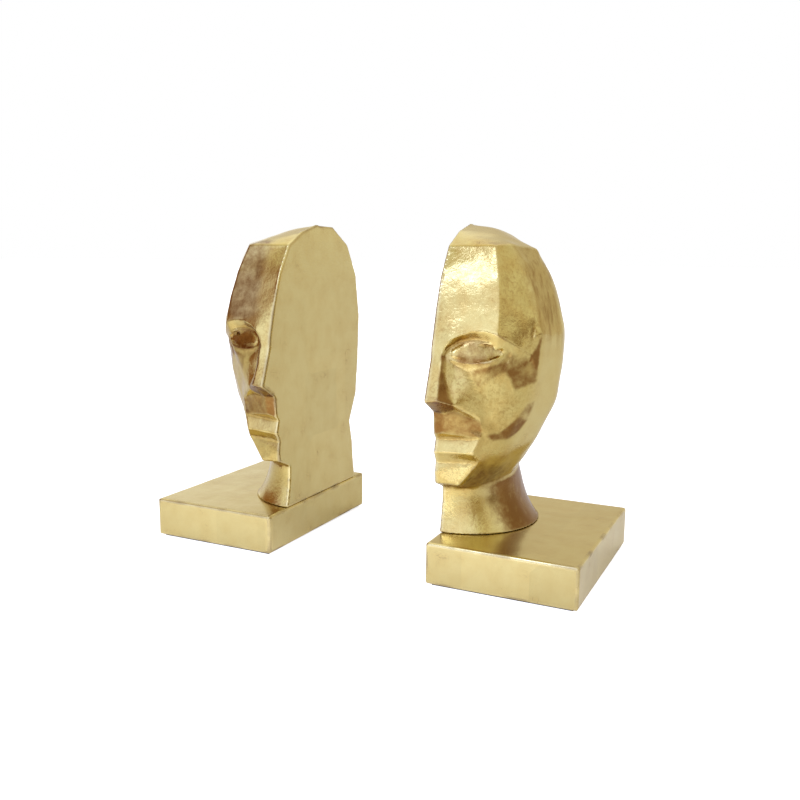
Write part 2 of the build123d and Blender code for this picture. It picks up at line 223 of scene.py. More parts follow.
# lines that stay sharp, as rows of points in mm: out from the flat face, back from the brow, up from the foot
crispLines = {
    "crown": [(0, 34, 248), (37.5, 32, 248), (46, 44.5, 249), (57, 68, 246)],
    "forehead": [(37.5, 32, 248), (43.5, 23.5, 226), (46.5, 17.5, 206), (51, 15.5, 184)],
    "temple": [(46, 44.5, 249), (54.5, 46, 237), (62.5, 45.5, 218), (66, 40.5, 197), (66.5, 37, 184),
               (65, 37.5, 170.5)],
    "brow": [(9, 3.5, 170), (11.5, 4.5, 176.5), (14.5, 5, 181.5), (22, 7.5, 185.5), (30, 10, 188),
             (39, 11, 188), (47.5, 12, 186), (60.5, 28, 175.5), (65, 37.5, 170.5), (63.5, 39, 166.5)],
    "under brow": [(10.5, 6.5, 171), (12.5, 10, 176), (19.5, 13, 180.5), (28, 14.5, 182.5), (37, 15, 181.5),
                   (46, 15.5, 178.5), (54.5, 24.5, 172), (59.5, 34, 166.5), (63.5, 39, 166.5), (68, 44, 157)],
    "lower lid": [(10.5, 6.5, 171), (13, 7, 169), (18, 8, 165.5), (26, 9.5, 164), (34, 11, 164),
                  (42, 13, 165), (48, 19, 167.5), (52.5, 25, 171), (51, 23.5, 160), (59.5, 34, 166.5)],
    "nose": [(9, 3.5, 170), (9, 0, 157), (10.5, -6.5, 139), (0, -7, 138)],
    "nostril": [(10.5, -6.5, 139), (19.5, 2.5, 135), (14, 3, 146), (11.5, 3, 158), (10.5, 6.5, 171)],
    "under nose": [(0, 10.5, 128), (8.5, 8.5, 128), (18.5, 7.5, 131), (19.5, 2.5, 135), (35.5, 16.5, 123),
                   (36, 19.5, 114), (34.5, 17.5, 110)],
    "upper lip": [(8.5, 8.5, 128), (7.5, 10.5, 113), (0, 12, 111), (7.5, 10.5, 113), (34.5, 17.5, 110),
                  (0, 15, 107.5)],
    "lower lip": [(0, 12, 97.5), (30, 14, 99), (34.5, 17.5, 110), (30, 14, 99), (33, 20.5, 91.5)],
    "chin": [(0, 16, 90), (33, 20.5, 91.5), (18.5, 17, 72.5), (0, 15.5, 73.5)],
    "cheekbone": [(36, 19.5, 114), (40.5, 23, 122), (47.5, 25.5, 133.5), (55.5, 30, 145), (65.5, 42.5, 147.5),
                  (62.5, 42, 135), (55.5, 37, 123.5), (44.5, 29, 113), (38.5, 21, 112.5)],
    "hollow": [(38.5, 21, 112.5), (40.5, 25.5, 107.5), (48.5, 36.5, 107), (54, 45, 111.5), (60.5, 48.5, 121),
               (66.5, 47.5, 136)],
    "side of the eye": [(51, 23.5, 160), (55.5, 30, 145)],
    "cheek band": [(71, 42.5, 186), (68, 44, 157), (68, 45, 150.5), (65.5, 42.5, 147.5)],
    "neck crease": [(18.5, 17, 72.5), (0, 34, 65.5), (15, 38, 66.5), (27, 47, 67), (34, 58, 68.5), (39, 76, 71),
                    (39, 95, 74), (34, 114, 80), (20, 127, 85), (0, 134, 88)],
}

# facets given a painted shade, darkened where the real head turns away from the light: corner points as above,
# and how dark
shadedFacets = {
    "side of the nose": (0.95, [(9, 0, 157), (10.5, -6.5, 139), (14, 3, 146), (11.5, 3, 158)]),
    "nostril": (0.85, [(10.5, -6.5, 139), (19.5, 2.5, 135), (14, 3, 146)]),
    "inner brow": (0.7, [(9, 3.5, 170), (9, 0, 157), (11.5, 3, 158), (10.5, 6.5, 171)]),
    "under the nose": (0.75, [(0, -7, 138), (0, 10.5, 128), (8.5, 8.5, 128), (18.5, 7.5, 131), (19.5, 2.5, 135),
                              (10.5, -6.5, 139)]),
    "upper lip side": (0.95, [(0, 10.5, 128), (0, 12, 111), (7.5, 10.5, 113), (8.5, 8.5, 128)]),
    "upper lip": (0.66, [(8.5, 8.5, 128), (7.5, 10.5, 113), (34.5, 17.5, 110), (36, 19.5, 114),
                         (35.5, 16.5, 123), (18.5, 7.5, 131)]),
    "outer corner of the eye": (0.72, [(51, 23.5, 160), (55.5, 30, 145), (68, 45, 150.5), (68, 44, 157)]),
    "below the brow's tail": (0.5, [(51, 23.5, 160), (68, 44, 157), (63.5, 39, 166.5), (59.5, 34, 166.5)]),
    "beside the eye": (0.3, [(54.5, 24.5, 172), (51, 23.5, 160), (59.5, 34, 166.5)]),
    "brow's tail": (0.9, [(65, 37.5, 170.5), (63.5, 39, 166.5), (68, 44, 157), (71, 42.5, 186)]),
    "below the eye": (0.5, [(33, 13, 147), (51, 23.5, 160), (52.5, 25, 171), (48, 19, 167.5), (42, 13, 165),
                             (34, 11, 164), (26, 9.5, 164)]),
    "eye": (0.5, [(18, 8, 165.5), (26, 9.5, 164), (34, 11, 164), (42, 13, 165), (46, 15.5, 178.5),
                  (37, 15, 181.5), (28, 14.5, 182.5), (19.5, 13, 180.5)]),
    "under the cheekbone": (0.9, [(55.5, 37, 123.5), (44.5, 29, 113), (48.5, 36.5, 107), (54, 45, 111.5),
                                  (60.5, 48.5, 121)]),
    "front of the hollow": (0.85, [(44.5, 29, 113), (38.5, 21, 112.5), (40.5, 25.5, 107.5), (48.5, 36.5, 107)]),
    "back of the hollow": (0.5, [(62.5, 42, 135), (55.5, 37, 123.5), (60.5, 48.5, 121), (66.5, 47.5, 136)]),
}


def closest(low, high):
    # where the flat face stands
    return min((low.x, high.x), key=abs)


def pointIn(side, place):
    # from the carver's measures to the model's frame
    low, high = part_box(f"{side}_half_head")
    outwards = 1 if side == "right" else -1
    out, back, up = (value * mm for value in place)
    return np.array([closest(low, high) + outwards * out, low.y + noseReach * mm + back,
                     high.z - headTop * mm + up])


def alongLines(side, lines, spacing):
    samples = []
    for line in lines.values():
        for start, end in zip(line, line[1:]):
            a, b = pointIn(side, start), pointIn(side, end)
            steps = max(1, math.ceil(np.linalg.norm(b - a) / spacing))
            samples += [a + (b - a) * step / steps for step in range(steps + 1)]
    return samples


def nearest(samples, place):
    tree = KDTree(len(samples))
    for index, sample in enumerate(samples):
        tree.insert(sample, index)
    tree.balance()
    return np.array([tree.find(p)[2] for p in place])


def paintRecess(piece, turns, reach, foot):
    # how far a point lies below the melted-down shape: toning settles there
    place, normal, ends = points(piece.data), vertexNormals(piece.data), edgeEnds(piece.data)
    depth = np.zeros(len(place))
    for axis in range(3):
        depth += (averaged(place[:, axis], ends, len(place), turns) - place[:, axis]) * normal[:, axis]
    paint(piece, "recess", np.clip(depth / reach, 0, 1) * ramp(place[:, 2], foot, foot + 25 * mm))


def facetMask(side, place, corners, depth, blur):
    # 1 on the facet and 0 off it, with a soft border
    ring = np.array([pointIn(side, corner) for corner in corners])
    middle = ring.mean(0)
    normal = np.zeros(3)
    for a, b in zip(ring, np.roll(ring, -1, 0)):
        normal += np.cross(a - middle, b - middle)
    normal /= np.linalg.norm(normal)
    mask = 1 - ramp(np.abs((place - middle) @ normal), depth, 1.6 * depth)
    for a, b in zip(ring, np.roll(ring, -1, 0)):
        inwards = np.cross(normal, b - a)
        inwards /= np.linalg.norm(inwards)
        mask *= ramp((place - a) @ inwards, -blur, blur)
    return mask


lidLook = {"middle": (32, 12.5, 172.4), "halfLength": 20.8 * mm, "halfHeight": 7.1 * mm, "bead": 0.9 * mm}


def raiseLids(side, piece):
    # a thin raised line of gesso round the eye, laid on the surface and joined to it
    lids = Vector(pointIn(side, (52.5, 25, 171)) - pointIn(side, (13, 7, 169))).normalized()
    opening = Vector(pointIn(side, (28, 14.5, 182.5)) - pointIn(side, (26, 9.5, 164)))
    outwards = lids.cross(opening).normalized()
    if outwards.y > 0:
        outwards.negate()
    upwards = outwards.cross(lids)
    middle = Vector(pointIn(side, lidLook["middle"])) + outwards * 20 * mm
    nothingSelected()
    bpy.ops.mesh.primitive_circle_add(vertices=72, radius=1)
    ring = bpy.context.object
    bpy.ops.transform.resize(value=(lidLook["halfLength"], lidLook["halfHeight"], 1))
    bpy.ops.object.transform_apply(location=False, rotation=False, scale=True)
    ring.matrix_world = Matrix((lids, upwards, outwards)).transposed().to_4x4()
    ring.matrix_world.translation = middle
    bpy.ops.object.transform_apply(location=True, rotation=True, scale=True)
    for vertex in ring.data.vertices:
        hit, spot, _, _ = piece.ray_cast(vertex.co, -outwards)
        if hit:
            vertex.co = spot
    addModifier(ring, "SMOOTH", factor=0.5, iterations=12)
    pick(ring)
    bpy.ops.object.convert(target="CURVE")
    ring = bpy.context.object
    ring.data.bevel_depth = lidLook["bead"]
    bpy.ops.object.convert(target="MESH")
    ring = bpy.context.object
    pick(piece)
    ring.select_set(True)
    bpy.ops.object.join()


def makeHead(side):
    nodeName = f"{side}_half_head"
    low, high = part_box(nodeName)
    piece = copyOfNode(nodeName, f"{side}_gilded_head")
    raiseLids(side, piece)
    addModifier(piece, "REMESH", mode="VOXEL", voxel_size=headLook["voxel"])
    place = points(piece.data)
    flat = np.abs(place[:, 0] - closest(low, high))
    ease = ramp(nearest(alongLines(side, crispLines, 1 * mm), place), *headLook["softReach"])
    ease *= ramp(flat, *headLook["clearOfFlat"]) * ramp(place[:, 2] - low.z, *headLook["clearOfFlat"])
    addModifier(piece, "SMOOTH", factor=0.5, iterations=headLook["softTurns"],
                vertex_group=weightGroup(piece, "soft", ease))
    brow = ramp(place[:, 2], *headLook["foreheadUp"]) * ramp(place[:, 1] - low.y, *headLook["foreheadBack"])
    brow *= ease
    addModifier(piece, "SMOOTH", factor=0.5, iterations=headLook["foreheadTurns"],
                vertex_group=weightGroup(piece, "forehead", brow))
    addModifier(piece, "SMOOTH", factor=0.5, iterations=headLook["edgeTurns"])
    place = points(piece.data)
    flat = np.abs(place[:, 0] - closest(low, high))
    free = ramp(flat, 0.5 * mm, 3 * mm) * ramp(place[:, 2] - low.z, 0, 3 * mm)
    dent(piece, f"{side} gouge marks", headLook["wobbleSize"], 1, headLook["handWobble"] * 2,
         vertex_group=weightGroup(piece, "free", free))
    keepInside(piece, nodeName)
    paintWear(piece, headLook["wearReach"])
    paintRecess(piece, headLook["recessTurns"], headLook["recessReach"], headLook["recessFoot"])
    place = points(piece.data)
    flat = np.abs(place[:, 0] - closest(low, high))
    back = place[:, 1] - low.y
    dabbed = (1 - ramp(back, *headLook["dabbedTo"])) * ramp(flat, *headLook["clearOfFlat"])
    # the left forehead is drawn smooth, without the dabbing, and darker: the darkening is a painted brown
    # reflection
    smoothShadedBrow = ramp(place[:, 2], *headLook["leftForeheadUp"]) * ramp(flat, *headLook["leftForeheadOut"])
    smoothShadedBrow *= dabbed * (side == "left")
    paint(piece, "dabbed", dabbed - smoothShadedBrow)
    # painted shade: summed from the facets, the left forehead, the neck's side, the lines and the jaw below
    toned = np.zeros(len(place))
    for share, corners in shadedFacets.values():
        toned += share * facetMask(side, place, corners, headLook["facetDepth"], headLook["shadeBlur"])
    toned += headLook["leftForeheadShade"] * smoothShadedBrow
    # painted shade down the side of the neck below the crease, fading out towards its front
    creaseBack, creaseUp = zip(*headLook["crease"])
    crease = np.interp(back / mm - noseReach, creaseBack, creaseUp) * mm + high.z - headTop * mm
    offFlat = ramp(flat, 2 * mm, 5 * mm)
    onNeck = ramp(place[:, 2] - crease, 1 * mm, -2 * mm) * offFlat
    turned = (place[:, 1] - (low.y + high.y) / 2) / headLook["neckHalfDepth"]
    toned = np.maximum(toned, headLook["neckShade"] * onNeck * ramp(turned, *headLook["neckShadeFrom"]))
    # painted shade along the edge of the brow and below the lower lid
    for name, (share, reach) in headLook["shadedLines"].items():
        lines = {name: crispLines[name]}
        toned += share * (1 - ramp(nearest(alongLines(side, lines, 0.5 * mm), place), 0.3 * reach, reach))
    # the soft shade between the jaw and the neck
    underJaw = ramp(place[:, 2], 66 * mm, 71 * mm) * ramp(place[:, 2], 108 * mm, 76 * mm) * offFlat
    underJaw *= ramp(back, 25 * mm, 32 * mm) * ramp(back, 90 * mm, 55 * mm)
    toned += headLook["underJaw"] * underJaw
    paint(piece, "dull", underJaw)
    paint(piece, "toned", np.clip(toned, 0, 1))
    # toning that ran down the sides of the crown
    outwards = 1 if side == "right" else -1
    streaked = ramp(vertexNormals(piece.data)[:, 0] * outwards, *headLook["streaksSideways"]) * (1 - dabbed)
    streaked *= ramp(place[:, 2], *headLook["streaksUp"]) * ramp(back, *headLook["streaksBack"])
    paint(piece, "streaked", streaked)
    piece.vertex_groups.clear()
    pick(piece)
    bpy.ops.object.shade_smooth()
    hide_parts(nodeName)
    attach(piece, f"{side}_book_end")
    return piece


slabLook = {
    "voxel": 1.2 * mm,
    "edgeTurns": 2,
    "handWobble": 0.12 * mm,
    "wobbleSize": 30 * mm,
    "wearReach": 0.10 * mm,
}


def makeSlab(side):
    nodeName = f"{side}_base_block"
    piece = copyOfNode(nodeName, f"{side}_gilded_slab")
    addModifier(piece, "REMESH", mode="VOXEL", voxel_size=slabLook["voxel"])
    addModifier(piece, "SMOOTH", factor=0.5, iterations=slabLook["edgeTurns"])
    dent(piece, f"{side} gesso", slabLook["wobbleSize"], 1, slabLook["handWobble"] * 2)
    keepInside(piece, nodeName)
    paintWear(piece, slabLook["wearReach"])
    for mark in ("dabbed", "recess", "toned", "streaked", "dull"):
        paint(piece, mark, np.zeros(len(piece.data.vertices)))
    pick(piece)
    bpy.ops.object.shade_smooth()
    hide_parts(nodeName)
    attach(piece, f"{side}_book_end")
    return piece


feltLook = {"cuts": 44, "fuzz": 0.12 * mm, "fuzzSize": 4 * mm, "smoothTo": math.radians(40)}


def makeFelt(side):
    nodeName = f"{side}_felt_pad"
    low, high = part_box(nodeName)
    nothingSelected()
    bpy.ops.mesh.primitive_cube_add(size=1, location=(low + high) / 2, scale=high - low)
    piece = bpy.context.object
    piece.name = f"{side}_felt"
    bpy.ops.object.transform_apply(location=True, rotation=True, scale=True)
    bpy.ops.object.mode_set(mode="EDIT")
    bpy.ops.mesh.select_all(action="SELECT")
    bpy.ops.mesh.subdivide(number_cuts=feltLook["cuts"])
    bpy.ops.object.mode_set(mode="OBJECT")
    dent(piece, f"{side} fuzz", feltLook["fuzzSize"], 2, feltLook["fuzz"])
    pick(piece)
    bpy.ops.object.shade_smooth_by_angle(angle=feltLook["smoothTo"])
    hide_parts(nodeName)
    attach(piece, f"{side}_book_end")
    return piece


def colour(sheet):
    # an sRGB hex value as the linear colour that a shader takes
    made = []
    for start in (0, 2, 4):
        part = int(sheet[start:start + 2], 16) / 255
        made.append(part / 12.92 if part <= 0.04045 else ((part + 0.055) / 1.055) ** 2.4)
    return (*made, 1)


def addNode(owner, kind, settings=None, sockets=None, stops=(), between="LINEAR"):
    # adds one node to a material or the world; a socket's value is a constant, or (node, its output) to link;
    # the two stops are for a colour ramp
    tree = owner.node_tree
    node = tree.nodes.new(kind)
    for name, value in (settings or {}).items():
        setattr(node, name, value)
    for name, value in (sockets or {}).items():
        socket = next(s for s in node.inputs if name in (s.identifier, s.name))
        if isinstance(value, tuple) and hasattr(value[0], "outputs"):
            source = next(s for s in value[0].outputs if value[1] in (s.identifier, s.name))
            tree.links.new(source, socket)
        else:
            socket.default_value = value
    if stops:
        node.color_ramp.interpolation = between
        for element, (position, value) in zip(node.color_ramp.elements, stops):
            element.position = position
            element.color = value if isinstance(value, tuple) else (value, value, value, 1)
    return node


def newMaterial(name):
    material = bpy.data.materials.new(name)
    material.use_nodes = True
    material.node_tree.nodes.clear()
    return material


leafLook = {
    "leaf": "D0BC72",
    "leafWarm": "BF9C50",
    "leafPale": "D5C484",
    "bole": "5A3018",
    "toning": "8A5F22",
    "shadeCoat": "7E5424",
    "burnishedHighlight": "E4D294",
    "roughness": 0.20,
    "mottle": 16,        # mm
    "shadeBreakup": 7,        # mm, how the painted shade breaks up
    "patch": 26,         # mm, where the dabbing shows
    "dab": 2.4,          # mm
    "streak": 2.2,       # mm across
    "crackCell": 3.8,    # mm
    "leafSheet": 55,     # mm
}


def gildedLeaf(name, look):
    # imitation gold leaf laid over red-brown bole and toned: a satin metal with dabs, laps and rubbed edges,
    # with painted shade on some facets and a painted highlight along sharp edges
    material = newMaterial(name)
    place = addNode(material, "ShaderNodeTexCoord")
    objectPlace = (place, "Object")
    wear, hollow, recess, shadeHere, dabbed, streaked, dull = (
        addNode(material, "ShaderNodeAttribute", {"attribute_name": mark})
        for mark in ("edgeWear", "hollow", "recess", "toned", "dabbed", "streaked", "dull"))
    mottle = addNode(material, "ShaderNodeTexNoise", {}, {
        "Vector": objectPlace, "Scale": 1000 / look["mottle"], "Detail": 4.0, "Roughness": 0.6})
    cloud = addNode(material, "ShaderNodeTexNoise", {}, {
        "Vector": objectPlace, "Scale": 1000 / look["patch"], "Detail": 2.0, "Roughness": 0.5})
    dab = addNode(material, "ShaderNodeTexNoise", {}, {
        "Vector": objectPlace, "Scale": 1000 / look["dab"], "Detail": 3.0, "Roughness": 0.55,
        "Distortion": 0.6})
    stretch = addNode(material, "ShaderNodeMapping", {}, {"Vector": objectPlace, "Scale": (1.0, 1.0, 0.12)})
    streak = addNode(material, "ShaderNodeTexNoise", {}, {
        "Vector": (stretch, "Vector"), "Scale": 1000 / look["streak"] / 2, "Detail": 3.0, "Roughness": 0.6})
    sheet = addNode(material, "ShaderNodeTexVoronoi", {"distance": "CHEBYCHEV"}, {
        "Vector": objectPlace, "Scale": 1000 / look["leafSheet"], "Randomness": 0.35})
    crack = addNode(material, "ShaderNodeTexVoronoi", {"feature": "DISTANCE_TO_EDGE"}, {
        "Vector": objectPlace, "Scale": 1000 / look["crackCell"]})

    warm = addNode(material, "ShaderNodeValToRGB", {}, {"Fac": (mottle, "Fac")}, [(0.38, 0.0), (0.68, 1.0)])
    smooth = addNode(material, "ShaderNodeMix", {"data_type": "RGBA"}, {
        "Factor_Float": (dabbed, "Fac"), "A_Color": colour(look["leafPale"]), "B_Color": colour(look["leaf"])})
    uneven = addNode(material, "ShaderNodeMath", {"operation": "MULTIPLY_ADD"}, {
        "Value": (dabbed, "Fac"), "Value_001": 0.35, "Value_002": 0.25})
    warmShare = addNode(material, "ShaderNodeMath", {"operation": "MULTIPLY"}, {
        "Value": (warm, "Color"), "Value_001": (uneven, "Value")})
    leaf = addNode(material, "ShaderNodeMix", {"data_type": "RGBA"}, {
        "Factor_Float": (warmShare, "Value"), "A_Color": (smooth, "Result_Color"),
        "B_Color": colour(look["leafWarm"])})
    tone = addNode(material, "ShaderNodeMath", {"operation": "MULTIPLY_ADD"}, {
        "Value": (sheet, "Color"), "Value_001": 0.10, "Value_002": 0.93})
    sheeted = addNode(material, "ShaderNodeMix", {"data_type": "RGBA", "blend_type": "MULTIPLY"}, {
        "Factor_Float": 1.0, "A_Color": (leaf, "Result_Color"), "B_Color": (tone, "Value")})

    # toning left in the grain and settled in the recesses
    grain = addNode(material, "ShaderNodeValToRGB", {}, {"Fac": (dab, "Fac")}, [(0.30, 1.0), (0.56, 0.0)])
    patches = addNode(material, "ShaderNodeValToRGB", {}, {"Fac": (cloud, "Fac")}, [
        (0.36, 0.08), (0.64, 0.42)])
    grainShare = addNode(material, "ShaderNodeMath", {"operation": "MULTIPLY"}, {
        "Value": (dabbed, "Fac"), "Value_001": (patches, "Color")})
    grainMask = addNode(material, "ShaderNodeMath", {"operation": "MULTIPLY"}, {
        "Value": (grain, "Color"), "Value_001": (grainShare, "Value")})
    runs = addNode(material, "ShaderNodeValToRGB", {}, {"Fac": (streak, "Fac")}, [(0.44, 0.0), (0.68, 0.5)])
    runShare = addNode(material, "ShaderNodeMath", {"operation": "MULTIPLY_ADD"}, {
        "Value": (runs, "Color"), "Value_001": (streaked, "Fac"), "Value_002": (grainMask, "Value")})
    settled = addNode(material, "ShaderNodeMath", {"operation": "MULTIPLY_ADD", "use_clamp": True}, {
        "Value": (recess, "Fac"), "Value_001": 0.22, "Value_002": (runShare, "Value")})
    toningDepth = addNode(material, "ShaderNodeMath", {"operation": "MULTIPLY_ADD", "use_clamp": True}, {
        "Value": (hollow, "Fac"), "Value_001": 0.38, "Value_002": (settled, "Value")})
    toned = addNode(material, "ShaderNodeMix", {"data_type": "RGBA"}, {
        "Factor_Float": (toningDepth, "Value"), "A_Color": (sheeted, "Result_Color"),
        "B_Color": colour(look["toning"])})
    onShade = addNode(material, "ShaderNodeValToRGB", {}, {"Fac": (shadeHere, "Fac")}, [
        (0.0, 0.0), (0.12, 1.0)])
    # painted shade: a darker colour on the facets, lines and neck side that makeHead marks, broken up by noise
    shadeBreakup = addNode(material, "ShaderNodeTexNoise", {}, {
        "Vector": objectPlace, "Scale": 1000 / look["shadeBreakup"], "Detail": 4.0, "Roughness": 0.7})
    broken = addNode(material, "ShaderNodeMath", {"operation": "MULTIPLY_ADD"}, {
        "Value": (shadeBreakup, "Fac"), "Value_001": 1.1, "Value_002": -0.55})
    shadeCoat = addNode(material, "ShaderNodeMath", {"operation": "ADD"}, {
        "Value": (broken, "Value"), "Value_001": (shadeHere, "Fac")})
    shadeCover = addNode(material, "ShaderNodeValToRGB", {}, {"Fac": (shadeCoat, "Value")}, [
        (0.10, 0.0), (1.0, 0.92)], "EASE")
    shadeShare = addNode(material, "ShaderNodeMath", {"operation": "MULTIPLY"}, {
        "Value": (shadeCover, "Color"), "Value_001": (onShade, "Color")})
    shaded = addNode(material, "ShaderNodeMix", {"data_type": "RGBA"}, {
        "Factor_Float": (shadeShare, "Value"), "A_Color": (toned, "Result_Color"),
        "B_Color": colour(look["shadeCoat"])})

    # bole showing at rubbed edges and in fine cracks
    rubbed = addNode(material, "ShaderNodeValToRGB", {}, {"Fac": (cloud, "Fac")}, [(0.46, 0.0), (0.66, 0.6)])
    rim = addNode(material, "ShaderNodeValToRGB", {}, {"Fac": (wear, "Fac")}, [(0.35, 0.0), (0.80, 0.75)])
    edgeShow = addNode(material, "ShaderNodeMath", {"operation": "MULTIPLY", "use_clamp": True}, {
        "Value": (rim, "Color"), "Value_001": (rubbed, "Color")})
    line = addNode(material, "ShaderNodeValToRGB", {}, {"Fac": (crack, "Distance")}, [
        (0.0, 1.0), (0.035, 0.0)])
    crackPatch = addNode(material, "ShaderNodeValToRGB", {}, {"Fac": (mottle, "Fac")}, [
        (0.60, 0.0), (0.70, 1.0)])
    lineShow = addNode(material, "ShaderNodeMath", {"operation": "MULTIPLY"}, {
        "Value": (line, "Color"), "Value_001": (crackPatch, "Color")})
    # paler leaf along sharp edges: burnishing, and a painted highlight where the rounded edges catch the light
    burnishAndHighlight = addNode(material, "ShaderNodeMath", {"operation": "MULTIPLY"}, {
        "Value": (rim, "Color"), "Value_001": 0.5})
    burnishedHighlight = addNode(material, "ShaderNodeMix", {"data_type": "RGBA"}, {
        "Factor_Float": (burnishAndHighlight, "Value"), "A_Color": (shaded, "Result_Color"),
        "B_Color": colour(look["burnishedHighlight"])})
    boleShow = addNode(material, "ShaderNodeMath", {"operation": "MULTIPLY_ADD", "use_clamp": True}, {
        "Value": (lineShow, "Value"), "Value_001": 0.5, "Value_002": (edgeShow, "Value")})
    finished = addNode(material, "ShaderNodeMix", {"data_type": "RGBA"}, {
        "Factor_Float": (boleShow, "Value"), "A_Color": (burnishedHighlight, "Result_Color"),
        "B_Color": colour(look["bole"])})

    satin = addNode(material, "ShaderNodeMath", {"operation": "MULTIPLY_ADD"}, {
        "Value": (mottle, "Fac"), "Value_001": 0.10, "Value_002": look["roughness"] - 0.05})
    softer = addNode(material, "ShaderNodeMath", {"operation": "MULTIPLY_ADD"}, {
        "Value": (dull, "Fac"), "Value_001": 0.35, "Value_002": (satin, "Value")})
    rough = addNode(material, "ShaderNodeMath", {"operation": "MULTIPLY_ADD", "use_clamp": True}, {
        "Value": (boleShow, "Value"), "Value_001": 0.3, "Value_002": (softer, "Value")})
    metal = addNode(material, "ShaderNodeMath", {"operation": "MULTIPLY_ADD", "use_clamp": True}, {
        "Value": (boleShow, "Value"), "Value_001": -0.5, "Value_002": 1.0})

    dabHeight = addNode(material, "ShaderNodeMath", {"operation": "MULTIPLY"}, {
        "Value": (dab, "Fac"), "Value_001": (dabbed, "Fac")})
    height = addNode(material, "ShaderNodeMath", {"operation": "MULTIPLY_ADD"}, {
        "Value": (streak, "Fac"), "Value_001": 0.25, "Value_002": (dabHeight, "Value")})
    heightWithMottle = addNode(material, "ShaderNodeMath", {"operation": "MULTIPLY_ADD"}, {
        "Value": (mottle, "Fac"), "Value_001": 0.8, "Value_002": (height, "Value")})
    bump = addNode(material, "ShaderNodeBump", {}, {
        "Strength": 0.40, "Distance": 0.38 * mm, "Height": (heightWithMottle, "Value")})
    shader = addNode(material, "ShaderNodeBsdfPrincipled", {}, {
        "Base Color": (finished, "Result_Color"), "Metallic": (metal, "Value"),
        "Roughness": (rough, "Value"), "Normal": (bump, "Normal")})
    addNode(material, "ShaderNodeOutputMaterial", {}, {"Surface": (shader, "BSDF")})
    return material


def blackFelt():
    # pressed wool felt, cut from the sheet: matt, with short fibres lying every way, drawn coarser than real
    material = newMaterial("black pressed felt")
    place = addNode(material, "ShaderNodeTexCoord")
    fibre = addNode(material, "ShaderNodeTexNoise", {}, {
        "Vector": (place, "Object"), "Scale": 1000 / 0.8, "Detail": 4.0, "Roughness": 0.7, "Distortion": 2.0})
    lint = addNode(material, "ShaderNodeValToRGB", {}, {"Fac": (fibre, "Fac")}, [
        (0.35, colour("151210")), (0.75, colour("39332D"))])
    bump = addNode(material, "ShaderNodeBump", {}, {
        "Strength": 0.8, "Distance": 0.2 * mm, "Height": (fibre, "Fac")})
    shader = addNode(material, "ShaderNodeBsdfPrincipled", {}, {
        "Base Color": (lint, "Color"), "Roughness": 0.95, "Sheen Weight": 0.35, "Sheen Roughness": 0.5,
        "Normal": (bump, "Normal")})
    addNode(material, "ShaderNodeOutputMaterial", {}, {"Surface": (shader, "BSDF")})
    return material


def turnedMetal(name, light, dark, roughness, lineSize, metallic=1.0):
    # turned or rolled metal: tool lines, drawn coarser than real, slightly uneven tone, a few dull patches
    material = newMaterial(name)
    place = addNode(material, "ShaderNodeTexCoord")
    squash = addNode(material, "ShaderNodeMapping", {}, {
        "Vector": (place, "Object"), "Scale": (0.15, 0.15, 1.0)})
    lines = addNode(material, "ShaderNodeTexNoise", {}, {
        "Vector": (squash, "Vector"), "Scale": 1000 / lineSize, "Detail": 2.0})
    patch = addNode(material, "ShaderNodeTexNoise", {}, {
        "Vector": (place, "Object"), "Scale": 1000 / 6, "Detail": 4.0, "Roughness": 0.6})
    tone = addNode(material, "ShaderNodeValToRGB", {}, {"Fac": (patch, "Fac")}, [
        (0.35, colour(dark)), (0.65, colour(light))])
    rough = addNode(material, "ShaderNodeMath", {"operation": "MULTIPLY_ADD"}, {
        "Value": (patch, "Fac"), "Value_001": 0.25, "Value_002": roughness - 0.12})
    bump = addNode(material, "ShaderNodeBump", {}, {
        "Strength": 0.4, "Distance": 0.04 * mm, "Height": (lines, "Fac")})
    shader = addNode(material, "ShaderNodeBsdfPrincipled", {}, {
        "Base Color": (tone, "Color"), "Metallic": metallic, "Roughness": (rough, "Value"),
        "Normal": (bump, "Normal")})
    addNode(material, "ShaderNodeOutputMaterial", {}, {"Surface": (shader, "BSDF")})
    return material


def beechDowel():
    # turned beech: pale, close grain along the pin with short dark flecks
    material = newMaterial("turned beech")
    place = addNode(material, "ShaderNodeTexCoord")
    along = addNode(material, "ShaderNodeMapping", {}, {"Vector": (place, "Object"), "Scale": (1.0, 1.0, 0.08)})
    grain = addNode(material, "ShaderNodeTexNoise", {}, {
        "Vector": (along, "Vector"), "Scale": 1000 / 1.2, "Detail": 5.0, "Roughness": 0.65})
    fleck = addNode(material, "ShaderNodeTexNoise", {}, {
        "Vector": (along, "Vector"), "Scale": 1000 / 0.5, "Detail": 1.0})
    tone = addNode(material, "ShaderNodeValToRGB", {}, {"Fac": (grain, "Fac")}, [
        (0.3, colour("A97B4F")), (0.7, colour("D5AE7E"))])
    flecks = addNode(material, "ShaderNodeValToRGB", {}, {"Fac": (fleck, "Fac")}, [(0.28, 1.0), (0.36, 0.0)])
    wood = addNode(material, "ShaderNodeMix", {"data_type": "RGBA"}, {
        "Factor_Float": (flecks, "Color"), "A_Color": (tone, "Color"), "B_Color": colour("7A4F2E")})
    bump = addNode(material, "ShaderNodeBump", {}, {
        "Strength": 0.5, "Distance": 0.08 * mm, "Height": (grain, "Fac")})
    shader = addNode(material, "ShaderNodeBsdfPrincipled", {}, {
        "Base Color": (wood, "Result_Color"), "Roughness": 0.55, "Normal": (bump, "Normal")})
    addNode(material, "ShaderNodeOutputMaterial", {}, {"Surface": (shader, "BSDF")})
    return material


def finish(piece, material):
    piece.data.materials.clear()
    piece.data.materials.append(material)


